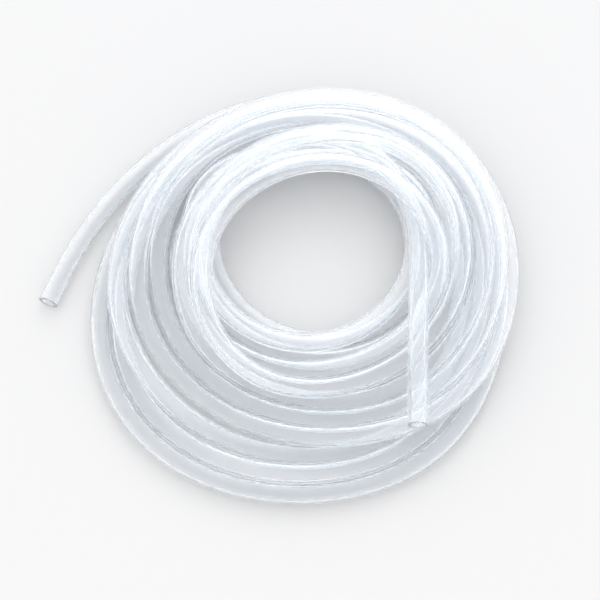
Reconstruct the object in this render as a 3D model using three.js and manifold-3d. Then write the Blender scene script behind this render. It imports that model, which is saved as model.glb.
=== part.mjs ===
// Clear air hose, 4 mm bore, 6 mm outside, lying in a loose coil with both cut ends free.
// Millimetres, +Z up, the coil lies on Z = 0. The hose is one length: its wound turns are one
// turned solid with the hole through it, and each free end is a tube that meets that solid.
import * as THREE from "three";
import { mergeVertices } from "three/addons/utils/BufferGeometryUtils.js";
import Module from "manifold-3d";

const wasm = await Module();
wasm.setup();

// Hose
const hoseDiameter = 6;
const boreDiameter = 4;
const hoseSides = 12;
const hoseStep = 2.5 * hoseDiameter; // distance between sections along a free end

// Coil: an outer circle, and a hole that lies off its centre
const coilDiameter = 131;
const holeWidth = 68; // left to right
const holeLength = 52; // near to far
const holeRight = 6; // from the outer circle's centre to the hole's, to the right
const holeBack = 11; // and away from the viewer
const turnsAcross = 6; // ridges on the upper face
const turnsUp = 2; // ridges on each wall
const nearHeight = 11.5;
const farHeight = 17.5;

// Fit and fineness
const jointGap = 0.3; // between the coil and each free end
const coilSegments = 80;
const ridgeSegments = 4; // straight pieces in each half round

// Centrelines of the free ends, from the coil outwards, chosen by hand
const leftEndRoute = [
  [-24, 57, 3],
  [-36, 54.3, 3],
  [-46.5, 47.5, 3],
  [-57, 37.8, 3],
  [-63.5, 28.5, 3],
  [-70, 15.3, 3],
  [-74, 6, 3],
  [-76.8, -2.2, 3],
];
const rightEndRoute = [
  [30.5, 47.5, 5],
  [34.5, 37.5, 6.5],
  [35.8, 28.5, 8.5],
  [35.8, 20.5, 10.5],
  [35.5, 13, 12.4],
  [35.2, 5, 14.5],
  [34.9, -6, 15.9],
  [34.6, -20, 15.6],
  [34.1, -33, 15.2],
  [33.6, -45.5, 15],
];

const clearPlastic = () =>
  new THREE.MeshStandardMaterial({ color: 0xdfe6ee, roughness: 0.12, metalness: 0 });

// Half rounds along the section of the wound turns, anticlockwise from the inner foot, for a
// block of turnsAcross by turnsUp hoses that stands on a flat foot.
function turnsSection() {
  const r = hoseDiameter / 2;
  const points = [];
  const arc = (x, y, from, to) => {
    const pieces = Math.round((ridgeSegments * Math.abs(to - from)) / Math.PI);
    for (let i = 0; i < pieces; i++) {
      const a = from + ((to - from) * i) / pieces;
      points.push([x + r * Math.cos(a), y + r * Math.sin(a)]);
    }
  };
  const lastColumn = (turnsAcross - 0.5) * hoseDiameter;
  const topRow = (turnsUp - 0.5) * hoseDiameter;
  for (let row = 0; row < turnsUp - 1; row++)
    arc(lastColumn, (row + 0.5) * hoseDiameter, -Math.PI / 2, Math.PI / 2);
  arc(lastColumn, topRow, -Math.PI / 2, Math.PI);
  for (let column = turnsAcross - 2; column > 0; column--)
    arc((column + 0.5) * hoseDiameter, topRow, 0, Math.PI);
  arc(r, topRow, 0, 1.5 * Math.PI);
  for (let row = turnsUp - 2; row >= 0; row--)
    arc(r, (row + 0.5) * hoseDiameter, Math.PI / 2, 1.5 * Math.PI);
  points.push([r, 0]);
  return points;
}

// The turned ring, then each of its sections is stretched between the hole and the outer
// circle, and from the near height to the far one. allowance grows it all over.
function coilGeometry(allowance) {
  const profile = turnsSection();
  const blockWidth = turnsAcross * hoseDiameter;
  const blockHeight = turnsUp * hoseDiameter;
  const start = blockWidth; // any radius that keeps the ring open
  const closed = [...profile, profile[0]];
  const ring = new THREE.LatheGeometry(
    closed.map(([x, y]) => new THREE.Vector2(start + x, y)),
    coilSegments,
  );
  ring.rotateX(Math.PI / 2);
  const outerRadius = coilDiameter / 2 + allowance;
  const position = ring.getAttribute("position");
  const at = new THREE.Vector3();
  for (let i = 0; i < position.count; i++) {
    at.fromBufferAttribute(position, i);
    const turn = Math.atan2(at.y, at.x);
    const across = (Math.hypot(at.x, at.y) - start) / blockWidth;
    const up = at.z / blockHeight;
    const outer = [outerRadius * Math.cos(turn), outerRadius * Math.sin(turn)];
    const inner = [
      holeRight + (holeWidth / 2 - allowance) * Math.cos(turn),
      holeBack + (holeLength / 2 - allowance) * Math.sin(turn),
    ];
    const far = (1 + Math.sin(turn)) / 2;
    const height = nearHeight + (farHeight - nearHeight) * far;
    position.setXYZ(
      i,
      inner[0] + (outer[0] - inner[0]) * across,
      inner[1] + (outer[1] - inner[1]) * across,
      up * (height + 2 * allowance) - allowance,
    );
  }
  return facingOut(ring);
}

// A circle of the hose's section, as many-sided as the hose is here.
function circlePoints(diameter) {
  const points = [];
  for (let i = 0; i < hoseSides; i++) {
    const a = (2 * Math.PI * i) / hoseSides;
    points.push(
      new THREE.Vector2((diameter / 2) * Math.cos(a), (diameter / 2) * Math.sin(a)),
    );
  }
  return points;
}

function hoseGeometry(route) {
  const section = new THREE.Shape(circlePoints(hoseDiameter));
  section.holes.push(new THREE.Path(circlePoints(boreDiameter)));
  const line = new THREE.CatmullRomCurve3(route.map((p) => new THREE.Vector3(...p)));
  return new THREE.ExtrudeGeometry(section, {
    steps: Math.round(line.getLength() / hoseStep),
    bevelEnabled: false,
    extrudePath: line,
  });
}

// Only positions, shared vertices merged, every face turned outwards.
function facingOut(geometry) {
  geometry.deleteAttribute("normal");
  geometry.deleteAttribute("uv");
  const merged = mergeVertices(geometry, 1e-4);
  const index = [...merged.index.array];
  const kept = [];
  for (let i = 0; i < index.length; i += 3) {
    const [a, b, c] = index.slice(i, i + 3);
    if (a !== b && b !== c && c !== a) kept.push(a, b, c);
  }
  merged.setIndex(kept);
  if (solidOf(merged).volume() < 0) {
    for (let i = 0; i < kept.length; i += 3)
      [kept[i + 1], kept[i + 2]] = [kept[i + 2], kept[i + 1]];
    merged.setIndex(kept);
  }
  return merged;
}

function solidOf(geometry) {
  return new wasm.Manifold(
    new wasm.Mesh({
      numProp: 3,
      vertProperties: new Float32Array(geometry.getAttribute("position").array),
      triVerts: new Uint32Array(geometry.index.array),
    }),
  );
}

function geometryOf(solid) {
  const mesh = solid.getMesh();
  return new THREE.BufferGeometry()
    .setAttribute("position", new THREE.BufferAttribute(mesh.vertProperties, 3))
    .setIndex(new THREE.BufferAttribute(mesh.triVerts, 1));
}

// A free end is cut back to the coil's surface, so the two meet face to face.
function freeEnd(name, route) {
  const tube = solidOf(facingOut(hoseGeometry(route)));
  const clear = tube.subtract(solidOf(coilGeometry(jointGap)));
  const largest = clear.decompose().sort((a, b) => b.volume() - a.volume())[0];
  return named(name, geometryOf(largest));
}

function named(name, geometry) {
  geometry.computeVertexNormals();
  const mesh = new THREE.Mesh(geometry, clearPlastic());
  mesh.name = name;
  return mesh;
}

const hose = new THREE.Group();
hose.add(
  named("coil", coilGeometry(0)),
  freeEnd("left_end", leftEndRoute),
  freeEnd("right_end", rightEndRoute),
);

// The origin is on the surface that the hose lies on, under the middle of the whole.
const middle = new THREE.Box3().setFromObject(hose).getCenter(new THREE.Vector3());
hose.position.set(-middle.x, -middle.y, 0);

export default hose;
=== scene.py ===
import bpy
import math
import numpy as np
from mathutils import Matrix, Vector


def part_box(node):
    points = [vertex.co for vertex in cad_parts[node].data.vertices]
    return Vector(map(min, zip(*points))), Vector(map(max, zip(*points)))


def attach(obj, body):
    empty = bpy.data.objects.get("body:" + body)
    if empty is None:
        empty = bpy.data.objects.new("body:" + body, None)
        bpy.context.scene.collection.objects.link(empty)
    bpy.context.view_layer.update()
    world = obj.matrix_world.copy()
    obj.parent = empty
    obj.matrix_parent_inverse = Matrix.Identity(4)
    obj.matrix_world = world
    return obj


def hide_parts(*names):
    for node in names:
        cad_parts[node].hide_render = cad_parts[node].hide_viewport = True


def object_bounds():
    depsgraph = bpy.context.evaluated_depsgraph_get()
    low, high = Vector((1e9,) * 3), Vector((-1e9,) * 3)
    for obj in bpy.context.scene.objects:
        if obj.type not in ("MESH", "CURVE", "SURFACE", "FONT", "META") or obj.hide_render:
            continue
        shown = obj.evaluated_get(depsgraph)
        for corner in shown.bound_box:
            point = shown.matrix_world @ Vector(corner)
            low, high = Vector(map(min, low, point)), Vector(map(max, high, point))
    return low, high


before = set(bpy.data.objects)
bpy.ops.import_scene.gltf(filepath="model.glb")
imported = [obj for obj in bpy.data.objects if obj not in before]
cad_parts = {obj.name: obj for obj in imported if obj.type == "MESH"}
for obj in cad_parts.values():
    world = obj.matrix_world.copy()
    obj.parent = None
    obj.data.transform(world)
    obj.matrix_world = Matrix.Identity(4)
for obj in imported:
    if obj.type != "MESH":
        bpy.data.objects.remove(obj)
cadBox = [list(corner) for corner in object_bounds()]
print("frame loaded", cadBox)

mm = 0.001
coilLow, coilHigh = (np.array(corner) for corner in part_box("coil"))
coilCentre = np.array([(coilLow[0] + coilHigh[0]) / 2, (coilLow[1] + coilHigh[1]) / 2, coilLow[2]])


def place(point):
    # Millimetres from the coil's centre on the floor, as a place in the frame in metres.
    return coilCentre + np.array(point, float) * mm


# Camera: it looks down at the middle of the coil from in front.
view = dict(
    distance=430,  # mm from the point looked at
    elevation=66.0,  # degrees above the floor
    lookAt=(0, 0, 0),
    acrossView=184.6,  # mm that the picture's width takes in at the point looked at
    sensor=36.0,
    nearest=0.01,  # metres
    furthest=20,
)


def makeCamera(v):
    up = math.radians(v["elevation"])
    target = Vector(place(v["lookAt"]))
    data = bpy.data.cameras.new("camera")
    data.sensor_width = v["sensor"]
    data.lens = v["sensor"] * v["distance"] / v["acrossView"]
    data.clip_start = v["nearest"]
    data.clip_end = v["furthest"]
    camera = bpy.data.objects.new("camera", data)
    bpy.context.scene.collection.objects.link(camera)
    camera.location = target + Vector((0, -math.cos(up), math.sin(up))) * v["distance"] * mm
    camera.rotation_euler = (target - camera.location).to_track_quat("-Z", "Y").to_euler()
    bpy.context.scene.camera = camera


makeCamera(view)
tilt = math.radians(view["elevation"])
eye = np.array([0, -math.cos(tilt), math.sin(tilt)]) * view["distance"]
eye = eye + np.array(view["lookAt"])  # the camera's place, in mm from the coil's centre

# The hose. The two ends take over the points where the CAD's free ends run outside its coil,
# in mm from the coil's centre and in the order in which the hose runs.
hose = dict(
    diameter=6.0,
    bore=4.0,
    length=3.4,  # metres
    sides=64,
    boreSides=24,
    spacing=4.0,  # between the points that settle
    ringSpacing=3.2,  # between the rings of the finished tube
    lift=6.0,  # how much higher a turn starts for each turn that it lies on
    smoothBelow=50,  # degrees; a sharper edge, as at the cut ends, stays sharp
)
leftEnd = [
    (-76.8, -2.2, 3),
    (-74, 6, 3),
    (-70, 15.3, 3),
    (-63.5, 28.5, 3),
    (-57, 37.8, 3),
    (-46.5, 47.5, 3),
    (-36, 54.3, 3),
]
rightEnd = [
    (35.8, 20.5, 10.5),
    (35.5, 13, 12.4),
    (35.2, 5, 14.5),
    (34.9, -6, 15.9),
    (34.6, -20, 15.6),
    (34.1, -33, 15.2),
    (33.6, -45.5, 15),
]
# One row for each turn, one column for each station round the coil, in degrees. seen: how far
# from the middle the camera sees the turn pass, in mm on the floor's level. under: how many
# turns lie below it when it starts to settle. kept: v where the turn is seen and keeps its
# place, k where others hide it and it must not come out from under them, h where it is hidden
# and may slide.
coil = dict(
    stations=[90, 45, 0, -45, -90, -135, -180, -225],
    seen=[
        [67.5, 67.5, 59.5, 63.8, 61.6, 64.6, 60.8, 58.5],
        [62.0, 62.0, 53.5, 59.5, 57.6, 59.0, 55.3, 53.0],
        [56.0, 57.0, 48.0, 54.5, 50.9, 52.2, 56.8, 58.0],
        [67.0, 70.0, 63.4, 55.1, 45.2, 43.0, 51.2, 59.6],
        [71.5, 74.3, 59.9, 50.2, 37.0, 38.5, 42.5, 55.9],
        [64.5, 68.7, 54.3, 43.4, 34.4, 33.3, 36.0, 44.9],
        [56.8, 62.7, 45.7, 34.9, 32.4, 29.8, 31.2, 37.8],
        [49.0, 50.6, 43.6, 27.9, 25.8, 29.6, 33.5, 44.5],
        [60.0, 59.5, 44.5, 25.0, 23.8, 23.3, 29.5, 49.5],
        [54.0, 51.5, 33.4, 20.6, 17.5, 19.7, 27.8, 46.5],
        [52.0, 56.0, 38.5, 22.8, 18.8, 17.2, 23.0, 43.0],
        [59.0, 52.8],
    ],
    under=[
        [0, 0, 0, 0, 0, 0, 0, 0],
        [0, 0, 0, 0, 1, 0, 0, 0],
        [0, 0, 0, 0, 0, 0, 1, 1],
        [1, 1, 0, 1, 0.7, 0, 2, 2],
        [2, 2, 1, 1.5, 1.3, 1, 2, 3],
        [2, 2, 2, 1.5, 0, 1, 2, 3],
        [2, 2, 2, 2, 1.3, 2, 3, 4],
        [2.6, 2.5, 1.2, 1, 1, 0, 0, 0],
        [1, 1, 1, 0, 0, 0, 0, 0],
        [0, 0, 0.3, 1, 1, 1, 1, 1],
        [1, 0.4, 0, 0, 0, 0, 0, 0],
        [1.8, 1.2],
    ],
    kept=[
        "kkkvvvvh",
        "hkkhvhhh",
        "hhhhvvvh",
        "khvvvvvv",
        "vvvvvvvv",
        "vvvvvvvv",
        "vvvvvvvv",
        "vvvvvhhk",
        "hhkvvvhk",
        "kkvvvvvk",
        "kkkvvvvk",
        "kv",
    ],
)
settle = dict(
    rounds=1400,
    hold=dict(v=0.2, k=0.06, h=0.004),  # how strongly a place is kept in each round
    weight=0.05,  # mm down in each round
    lastWeight=0.3,  # the share of it that is left in the last round
    stiffness=0.5,
    reach=((1, 1.0), (3, 0.6)),  # neighbours that the stiffness joins, and its share
    skip=6,  # neighbours along the hose that are never tested for touching
    near=9.5,  # mm, within which a pair is tested
    lookAgain=12,  # rounds between searches for such pairs
    pushes=3,  # in each round
    ease=250,  # rounds over which the hold lets go at the end
    ironing=7,  # last passes that take out small kinks
)


def sightShare(z):
    # How far along the line of sight, from the floor-level place to the eye, height z is.
    level = hose["diameter"] / 2
    return (z - level) / (eye[2] - level)


def onSight(floorPlace, z):
    k = sightShare(z)[:, None]
    return floorPlace + k * (eye[:2] - floorPlace)


def offSight(point):
    # A place in space, as it is seen on the floor's level, with its own height kept.
    k = sightShare(point[2])
    x, y = ((point[i] - k * eye[i]) / (1 - k) for i in range(2))
    return [x, y, point[2], settle["hold"]["v"]]


def routePoints():
    # Left free end, turn after turn, right free end: x, y, z and how strongly it is kept.
    points = [offSight(p) for p in leftEnd]
    for turn, row in enumerate(coil["seen"]):
        for column, out in enumerate(row):
            a = math.radians(coil["stations"][column])
            z = hose["diameter"] / 2 + hose["lift"] * coil["under"][turn][column]
            hold = settle["hold"][coil["kept"][turn][column]]
            points.append([out * math.cos(a), out * math.sin(a), z, hold])
    points += [offSight(p) for p in rightEnd]
    return np.array(points)


def evenLine(line, spacing):
    steps = np.linalg.norm(np.diff(line[:, :3], axis=0), axis=1)
    along = np.concatenate([[0], np.cumsum(steps)])
    at = np.linspace(0, along[-1], int(round(along[-1] / spacing)) + 1)
    return np.stack([np.interp(at, along, column) for column in line.T], axis=1)


def smoothLine(points, spacing, fineness=40):
    # One cubic spline through the points, with no jump in its curvature, in equal steps. h is
    # how far its parameter goes between two points: the root of their distance, so that the
    # spline doesn't swing out where the points are unevenly spaced.
    h = np.sqrt(np.linalg.norm(np.diff(points[:, :2], axis=0), axis=1))
    at = np.concatenate([[0], np.cumsum(h)])
    slope = np.diff(points, axis=0) / h[:, None]
    n = len(points)
    rows = np.zeros((n, n))
    rows[0, 0] = rows[-1, -1] = 1
    for i in range(1, n - 1):
        rows[i, i - 1 : i + 2] = h[i - 1], 2 * (h[i - 1] + h[i]), h[i]
    known = np.zeros_like(points)
    known[1:-1] = 6 * np.diff(slope, axis=0)
    curve = np.linalg.solve(rows, known)
    fine = np.linspace(0, at[-1], n * fineness)
    i = np.clip(np.searchsorted(at, fine, side="right") - 1, 0, n - 2)
    a = ((at[i + 1] - fine) / h[i])[:, None]
    b = ((fine - at[i]) / h[i])[:, None]
    arc = (a**3 - a) * curve[i] + (b**3 - b) * curve[i + 1]
    return evenLine(a * points[i] + b * points[i + 1] + arc * (h[i] ** 2)[:, None] / 6, spacing)


def pushApart(x, i, j):
    # Moves each point i and stretch j, j + 1 that lie inside each other until they touch.
    stretch = x[j + 1] - x[j]
    t = np.clip(((x[i] - x[j]) * stretch).sum(1) / (stretch * stretch).sum(1), 0, 1)
    away = x[i] - x[j] - t[:, None] * stretch
    gap = np.linalg.norm(away, axis=1)
    hit = gap < hose["diameter"]
    i, j, t, gap = i[hit], j[hit], t[hit], gap[hit]
    direction = away[hit] / np.maximum(gap, 1e-6)[:, None]
    push = direction * ((hose["diameter"] - gap) / 2)[:, None]
    move = np.zeros_like(x)
    count = np.zeros(len(x))
    for index, share in ((i, np.ones(len(i))), (j, t - 1), (j + 1, -t)):
        for k in range(3):
            move[:, k] += np.bincount(index, push[:, k] * share, len(x))
        count += np.bincount(index, np.abs(share), len(x))
    x += move / np.maximum(count, 1)[:, None]
    x[:, 2] = np.maximum(x[:, 2], hose["diameter"] / 2)


def settled(route, s):
    # Lets the hose sink on to the floor and on to itself until its turns lie on each other.
    x = route[:, :3].copy()
    floorPlace = route[:, :2].copy()
    hold = np.clip(route[:, 3:], s["hold"]["h"], s["hold"]["v"])
    x[:, :2] = onSight(floorPlace, x[:, 2])
    for done in range(s["rounds"]):
        if done % s["lookAgain"] == 0:
            middles = (x[1:] + x[:-1]) / 2
            gaps = np.linalg.norm(x[:, None, :] - middles[None], axis=2)
            i, j = np.nonzero(gaps < s["near"])
            apart = np.abs(i - j - 0.5) > s["skip"]
            i, j = i[apart], j[apart]
        easing = min(1.0, (s["rounds"] - done) / s["ease"])
        x[:, :2] += hold * easing * (onSight(floorPlace, x[:, 2]) - x[:, :2])
        x[:, 2] -= s["weight"] * (s["lastWeight"] + (1 - s["lastWeight"]) * easing)
        for m, share in s["reach"]:
            a, b, c, d, e = (x[k * m : len(x) - (4 - k) * m] for k in range(5))
            kink = a - 4 * b + 6 * c - 4 * d + e
            x[2 * m : -2 * m] -= s["stiffness"] * share * kink / 6
        for again in range(s["pushes"]):
            pushApart(x, i, j)
    for again in range(s["ironing"]):
        x[1:-1] = (x[:-2] + 2 * x[1:-1] + x[2:]) / 4
    return x


def tubeMesh(name, line):
    # A hollow tube along the line, in metres, with square cut ends and a UV map along it.
    n = len(line)
    ahead = np.gradient(line, axis=0)
    ahead /= np.linalg.norm(ahead, axis=1)[:, None]
    side = np.array([0, 0, 1.0]) - ahead * ahead[:, 2:]
    side /= np.linalg.norm(side, axis=1)[:, None]
    other = np.cross(ahead, side)

    def rings(radius, sides):
        a = (np.arange(sides) * 2 * math.pi / sides)[None, :, None]
        ring = np.cos(a) * side[:, None, :] + np.sin(a) * other[:, None, :]
        return (line[:, None, :] + radius * ring).reshape(-1, 3)

    outer, inner = hose["sides"], hose["boreSides"]
    outside = rings(hose["diameter"] / 2 * mm, outer)
    inside = rings(hose["bore"] / 2 * mm, inner)
    verts = np.concatenate([outside, inside])
    along = np.concatenate([[0], np.cumsum(np.linalg.norm(np.diff(line, axis=0), axis=1))])
    faces, uvs = [], []
    base = n * outer
    for start, sides, flip in ((0, outer, False), (base, inner, True)):
        for i in range(n - 1):
            for k in range(sides):
                m = (k + 1) % sides
                quad = [start + i * sides + k, start + i * sides + m]
                quad += [start + (i + 1) * sides + m, start + (i + 1) * sides + k]
                uv = [(k / sides, along[i]), ((k + 1) / sides, along[i])]
                uv += [((k + 1) / sides, along[i + 1]), (k / sides, along[i + 1])]
                if flip:
                    quad.reverse()
                    uv.reverse()
                faces.append(quad)
                uvs += uv
    mesh = bpy.data.meshes.new(name)
    for end, flip in ((0, True), (n - 1, False)):
        faces += capFaces(end * outer, outer, base + end * inner, inner, flip)
    mesh.from_pydata(verts.tolist(), [], faces)
    layer = mesh.uv_layers.new(name="along")
    flat = np.zeros((len(mesh.loops), 2), np.float32)
    flat[: len(uvs)] = np.array(uvs, np.float32)
    layer.data.foreach_set("uv", flat.ravel())
    mesh.update()
    piece = bpy.data.objects.new(name, mesh)
    bpy.context.scene.collection.objects.link(piece)
    return piece


def capFaces(outerStart, outer, innerStart, inner, flip):
    # The cut wall between the two circles, which have different numbers of points.
    faces = []
    i = k = 0
    while i < outer or k < inner:
        if k >= inner or (i < outer and (i + 1) / outer <= (k + 1) / inner):
            third = outerStart + (i + 1) % outer
            face = [outerStart + i % outer, third, innerStart + k % inner]
            i += 1
        else:
            third = innerStart + (k + 1) % inner
            face = [outerStart + i % outer, third, innerStart + k % inner]
            k += 1
        if flip:
            face.reverse()
        faces.append(face)
    return faces


rough = smoothLine(routePoints(), hose["spacing"])
print("route", len(rough), "points")
lying = settled(rough, settle)
fineLine = smoothLine(lying, hose["ringSpacing"])
print("settled", round(float(np.linalg.norm(np.diff(fineLine, axis=0), axis=1).sum())), "mm")
centreLine = coilCentre + fineLine * mm
hosePiece = tubeMesh("air_hose", centreLine)
hosePiece.data.polygons.foreach_set("use_smooth", [True] * len(hosePiece.data.polygons))
bpy.context.view_layer.objects.active = hosePiece
hosePiece.select_set(True)
bpy.ops.object.shade_smooth_by_angle(angle=math.radians(hose["smoothBelow"]))
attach(hosePiece, "root")
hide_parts("coil", "left_end", "right_end")
print("hose made")


# A socket that takes part in sums, so that shader maths reads as maths.
class Value:
    def __init__(self, tree, socket):
        self.tree = tree
        self.socket = socket

    def sum(self, operation, *others):
        made = self.tree.node("ShaderNodeMath", dict(operation=operation), {})
        for index, part in enumerate((self, *others)):
            self.tree.put(made.node.inputs[index], part)
        return made

    def __add__(self, other):
        return self.sum("ADD", other)

    def __sub__(self, other):
        return self.sum("SUBTRACT", other)

    def __mul__(self, other):
        return self.sum("MULTIPLY", other)

    def __pow__(self, other):
        return self.sum("POWER", other)

    def __rsub__(self, other):
        return (self * -1) + other

    __radd__ = __add__
    __rmul__ = __mul__

    def clamped(self, low, high):
        return self.sum("MAXIMUM", low).sum("MINIMUM", high)


class Made(Value):
    # A node, which also stands for its first output.
    def __init__(self, tree, node):
        super().__init__(tree, next(o for o in node.outputs if o.enabled))
        self.node = node

    def out(self, name):
        return Value(self.tree, self.node.outputs[name])


class ShaderTree:
    def __init__(self, owner):
        owner.use_nodes = True
        self.tree = owner.node_tree

    def put(self, socket, value):
        if isinstance(value, Value):
            self.tree.links.new(value.socket, socket)
        else:
            socket.default_value = value

    def node(self, kind, settings, inputs):
        made = self.tree.nodes.new(kind)
        for name, value in settings.items():
            setattr(made, name, value)
        for name, value in inputs.items():
            self.put(made.inputs[name], value)
        return Made(self, made)

    def noise(self, vector, scale, detail=2.0, rough=0.5):
        inputs = {"Vector": vector, "Scale": scale, "Detail": detail, "Roughness": rough}
        return self.node("ShaderNodeTexNoise", {}, inputs)

    def stretched(self, vector, scale):
        return self.node("ShaderNodeMapping", {}, {"Vector": vector, "Scale": scale})

    def mixed(self, share, first, second):
        inputs = {"Factor": share, "A": first, "B": second}
        made = self.node("ShaderNodeMix", dict(data_type="RGBA"), {})
        for name, value in inputs.items():
            socket = next(i for i in made.node.inputs if i.name == name and i.enabled)
            self.put(socket, value)
        return made

    def bump(self, height, strength, distance, normal=None):
        inputs = {"Height": height, "Strength": strength, "Distance": distance}
        if normal is not None:
            inputs["Normal"] = normal
        return self.node("ShaderNodeBump", {}, inputs)

    def principled(self, inputs):
        shader = self.tree.nodes["Principled BSDF"]
        for name, value in inputs.items():
            self.put(shader.inputs[name], value)


# Clear flexible PVC. u runs round the hose, v along it in metres.
pvc = dict(
    colour=(0.998, 0.999, 1.0, 1),
    cloudy=(0.968, 0.983, 1.0, 1),
    index=1.42,
    body=0.93,  # how much of the wall shows where it is looked straight through
    edge=0.07,  # and how much more of it shows at its sides
    paintedGlow=0.042,  # painted glow: the wall gives off faint light of its own, standing in for light that the milky wall scatters
    paintedGlowColour=(0.8, 0.89, 1.0, 1),
    roughness=0.0,
    streakRoughness=0.02,  # along the lines that the die leaves
    hazeRoughness=0.015,  # in soft clouds
    edgeFall=2.0,  # how steeply the wall gets denser towards its sides
    streaks=(26, 4, 1),  # round, along
    streakDetail=3.0,
    streakFrom=0.55,  # noise above this is a streak
    streakGain=5,
    clouds=(3, 14, 1),
    cloudDetail=4.0,
    cloudGrain=0.6,
    cloudFrom=0.5,
    cloudGain=3,
    ripple=(2, 30, 1),  # the wall is never quite even
    rippleDetail=1.0,
    streakDepth=0.0000015,
    rippleDepth=0.00001,
)


def clearPvc(p):
    material = bpy.data.materials.new("clearHose")
    t = ShaderTree(material)
    uv = t.node("ShaderNodeUVMap", dict(uv_map="along"), {})
    streak = t.noise(t.stretched(uv, p["streaks"]), 1.0, p["streakDetail"])
    cloud = t.noise(t.stretched(uv, p["clouds"]), 1.0, p["cloudDetail"], p["cloudGrain"])
    ripple = t.noise(t.stretched(uv, p["ripple"]), 1.0, p["rippleDetail"])
    haze = ((cloud - p["cloudFrom"]) * p["cloudGain"]).clamped(0.0, 1.0)
    line = ((streak - p["streakFrom"]) * p["streakGain"]).clamped(0.0, 1.0)
    colour = t.mixed(haze, p["colour"], p["cloudy"])
    rough = line * p["streakRoughness"] + haze * p["hazeRoughness"] + p["roughness"]
    side = t.node("ShaderNodeLayerWeight", {}, {"Blend": 0.5}).out("Facing")
    wavy = t.bump(ripple, 1.0, p["rippleDepth"])
    lined = t.bump(streak, 1.0, p["streakDepth"], wavy)
    t.principled(
        {
            "Base Color": colour,
            "Roughness": rough,
            "Normal": lined,
            "IOR": p["index"],
            "Alpha": side ** p["edgeFall"] * p["edge"] + p["body"],
            # painted glow: the hose gives off faint bluish light of its own
            "Emission Color": p["paintedGlowColour"],
            "Emission Strength": p["paintedGlow"],
            "Transmission Weight": 1.0,
        }
    )
    return material


hosePiece.data.materials.append(clearPvc(pvc))

# Floor: matt white paper
paper = dict(
    size=4.0,  # metres
    colour=(0.86, 0.862, 0.87, 1),
    warm=(0.87, 0.862, 0.85, 1),
    blotch=3.0,
    blotchDetail=1.0,
    grain=900.0,
    grainDetail=3.0,
    grainDepth=0.00005,
    grainStrength=0.3,
    roughness=0.75,
    grainRoughness=0.1,  # added where the grain stands out
)


def paperFloor(p):
    bpy.ops.object.select_all(action="DESELECT")
    bpy.ops.mesh.primitive_plane_add(size=p["size"], location=(0, 0, cadBox[0][2]))
    floor = bpy.context.object
    floor.name = "floor"
    material = bpy.data.materials.new("paper")
    t = ShaderTree(material)
    at = t.node("ShaderNodeTexCoord", {}, {}).out("Object")
    blotch = t.noise(at, p["blotch"], p["blotchDetail"])
    grain = t.noise(at, p["grain"], p["grainDetail"])
    t.principled(
        {
            "Base Color": t.mixed(blotch, p["colour"], p["warm"]),
            "Roughness": grain * p["grainRoughness"] + p["roughness"],
            "Normal": t.bump(grain, p["grainStrength"], p["grainDepth"]),
        }
    )
    floor.data.materials.append(material)


paperFloor(paper)

# Light: a white studio all round, darker towards the horizon, with one broad soft light
# high up at the back.
studio = dict(
    horizon=0.45,
    overhead=1.17,
    rise=0.6,  # how soon it gets brighter above the horizon
    colour=(0.985, 0.99, 1.0, 1),
    softLight=(0.10, 0.75, 0.65),  # its direction
    softPower=1.2,
    softEdge=14.0,  # the higher, the smaller the light
)


def studioWorld(p):
    world = bpy.data.worlds.new("studio")
    bpy.context.scene.world = world
    t = ShaderTree(world)
    way = t.node("ShaderNodeTexCoord", {}, {}).out("Generated")
    up = t.node("ShaderNodeSeparateXYZ", {}, {"Vector": way}).out("Z").clamped(0.0, 1.0)
    towards = t.node("ShaderNodeVectorMath", dict(operation="DOT_PRODUCT"), {})
    t.put(towards.node.inputs[0], way)
    t.put(towards.node.inputs[1], tuple(Vector(p["softLight"]).normalized()))
    facing = towards.out("Value").clamped(0.0, 1.0)
    dome = up ** p["rise"] * (p["overhead"] - p["horizon"]) + p["horizon"]
    light = facing ** p["softEdge"] * p["softPower"] + dome
    background = t.tree.nodes["Background"]
    t.put(background.inputs["Color"], p["colour"])
    t.put(background.inputs["Strength"], light)


studioWorld(studio)

bounces = 32  # each strand puts four surfaces in the way of the light
scene = bpy.context.scene
scene.view_settings.view_transform = "Standard"
scene.cycles.max_bounces = bounces
scene.cycles.transmission_bounces = bounces
scene.cycles.transparent_max_bounces = bounces
print("stage set")
